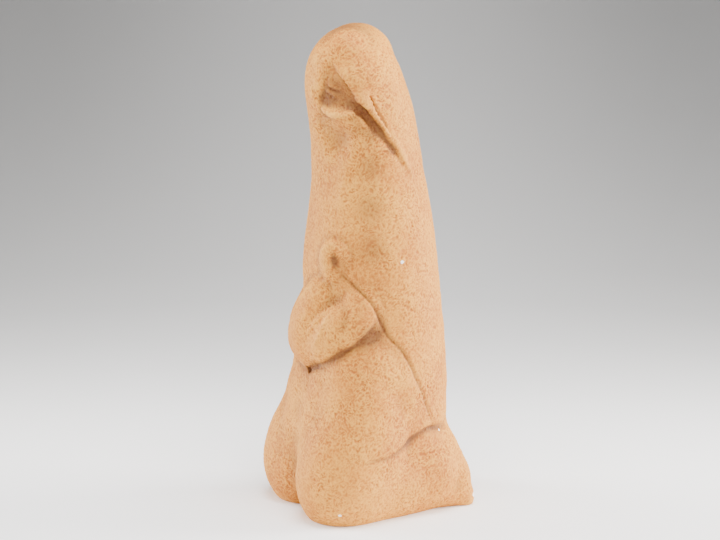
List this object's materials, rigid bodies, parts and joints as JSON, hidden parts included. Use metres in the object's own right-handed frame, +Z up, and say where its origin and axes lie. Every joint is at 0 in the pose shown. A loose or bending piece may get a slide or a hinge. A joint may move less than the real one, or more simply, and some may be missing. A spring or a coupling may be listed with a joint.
{
  "type": "kneeling figure",
  "caption": "Abstract hooded figure kneeling on its heels with a small child held in its lap, a solid free-standing ornament with a flat underside.",
  "frame": {"origin": "middle of the footprint on the floor", "axes": "+Z up, the figure faces -Y, its left side is +X"},
  "size_m": [0.109, 0.1128, 0.2978],
  "materials": {
    "patinated_plaster": "matt sandy terracotta patina over cast plaster, finely wrinkled and pitted"
  },
  "bodies": {
    "root": {"robe": "patinated_plaster", "veil": "patinated_plaster", "left_hem": "patinated_plaster", "right_hem": "patinated_plaster", "head": "patinated_plaster", "child_head": "patinated_plaster", "child_body": "patinated_plaster", "left_hand": "patinated_plaster", "right_hand": "patinated_plaster", "left_thigh": "patinated_plaster", "right_thigh": "patinated_plaster", "left_leg": "patinated_plaster", "right_leg": "patinated_plaster"}
  },
  "joints": []
}
